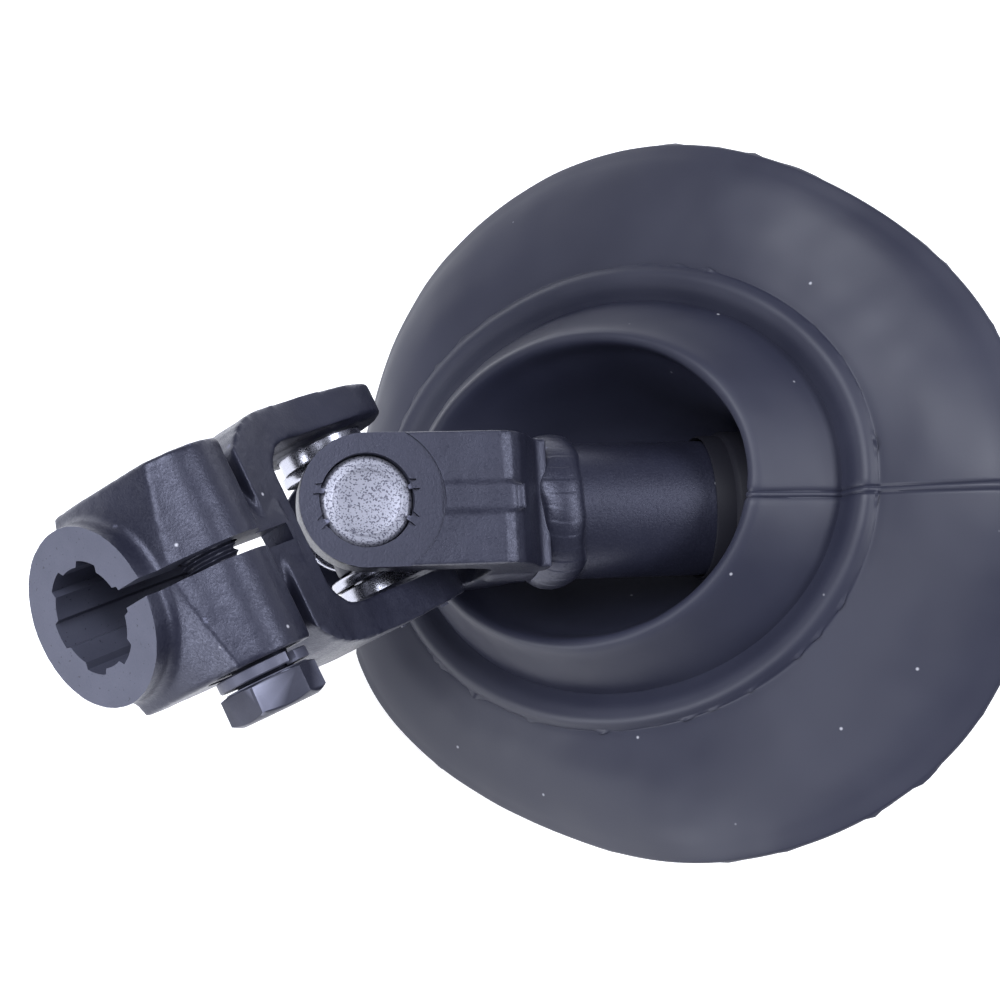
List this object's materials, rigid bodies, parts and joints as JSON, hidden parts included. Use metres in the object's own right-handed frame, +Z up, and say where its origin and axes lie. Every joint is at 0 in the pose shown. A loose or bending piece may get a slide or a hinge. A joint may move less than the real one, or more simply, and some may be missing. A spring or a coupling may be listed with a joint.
{
  "type": "intermediate steering shaft",
  "caption": "Telescoping steering shaft with a universal joint and a splined pinch clamp at each end, and a flanged rubber bulkhead boot on its tube.",
  "frame": {"origin": "centre of the bottom of the shaft's box as it lies on a bench", "axes": "+Z up, +X towards the upper end of the shaft, which slopes down by about 7 degrees"},
  "size_m": [0.4122, 0.1372, 0.1125],
  "materials": {
    "painted_steel": "satin black paint over a rough forging",
    "bright_steel": "ground steel",
    "cup_steel": "drawn steel with dark specks",
    "black_oxide": "black oxide",
    "boot_rubber": "matt moulded rubber",
    "seal_rubber": "matt",
    "nylon": "moulded nylon",
    "black_nylon": "moulded black nylon"
  },
  "bodies": {
    "shaft_tube": {"outer_tube": "painted_steel", "lower_tube_yoke": "painted_steel", "lower_weld": "painted_steel", "slip_bushing": "nylon", "tube_end_seal": "seal_rubber", "boot_bush": "black_nylon", "lower_tube_cup_front": "cup_steel", "lower_tube_cup_rear": "cup_steel", "lower_tube_rollers_front": "bright_steel", "lower_tube_rollers_rear": "bright_steel", "lower_tube_seal_front": "seal_rubber", "lower_tube_seal_rear": "seal_rubber"},
    "lower_cross": {"lower_cross": "bright_steel"},
    "lower_clamp": {"lower_clamp_yoke": "painted_steel", "lower_pinch_bolt": "black_oxide", "lower_lock_washer": "black_oxide", "lower_clamp_cup_front": "cup_steel", "lower_clamp_cup_rear": "cup_steel", "lower_clamp_rollers_front": "bright_steel", "lower_clamp_rollers_rear": "bright_steel", "lower_clamp_seal_front": "seal_rubber", "lower_clamp_seal_rear": "seal_rubber"},
    "boot": {"firewall_boot": "boot_rubber"},
    "sliding_shaft": {"slip_shaft": "bright_steel", "upper_tube_yoke": "painted_steel", "upper_weld": "painted_steel", "upper_tube_cup_front": "cup_steel", "upper_tube_cup_rear": "cup_steel", "upper_tube_rollers_front": "bright_steel", "upper_tube_rollers_rear": "bright_steel", "upper_tube_seal_front": "seal_rubber", "upper_tube_seal_rear": "seal_rubber"},
    "upper_cross": {"upper_cross": "bright_steel"},
    "upper_clamp": {"upper_clamp_yoke": "painted_steel", "upper_pinch_bolt": "black_oxide", "upper_lock_washer": "black_oxide", "upper_clamp_cup_front": "cup_steel", "upper_clamp_cup_rear": "cup_steel", "upper_clamp_rollers_front": "bright_steel", "upper_clamp_rollers_rear": "bright_steel", "upper_clamp_seal_front": "seal_rubber", "upper_clamp_seal_rear": "seal_rubber"}
  },
  "joints": [
    {"name": "lower_swing", "type": "hinge", "parent": "shaft_tube", "child": "lower_cross", "pos_m": [-0.1541, -0.00411, 0.061], "axis": [0.1273, 0, 0.9919], "range_deg": [-51, 5]},
    {"name": "lower_bend", "type": "hinge", "parent": "lower_cross", "child": "lower_clamp", "pos_m": [-0.1541, -0.00411, 0.061], "axis": [-0.3876, 0.9205, 0.0498], "range_deg": [-77, 7]},
    {"name": "boot_turn", "type": "hinge", "parent": "shaft_tube", "child": "boot", "pos_m": [-0.1541, -0.00411, 0.061], "axis": [0.9919, 0, -0.1273], "continuous": true},
    {"name": "slip", "type": "slide", "parent": "shaft_tube", "child": "sliding_shaft", "axis": [0.9919, 0, -0.1273], "range_m": [-0.015, 0.035]},
    {"name": "upper_swing", "type": "hinge", "parent": "sliding_shaft", "child": "upper_cross", "pos_m": [0.14346, -0.00411, 0.0228], "axis": [0.1273, 0, 0.9919], "range_deg": [-28, 28]},
    {"name": "upper_bend", "type": "hinge", "parent": "upper_cross", "child": "upper_clamp", "pos_m": [0.14346, -0.00411, 0.0228], "axis": [0, 1, 0], "range_deg": [-42, 42]}
  ]
}
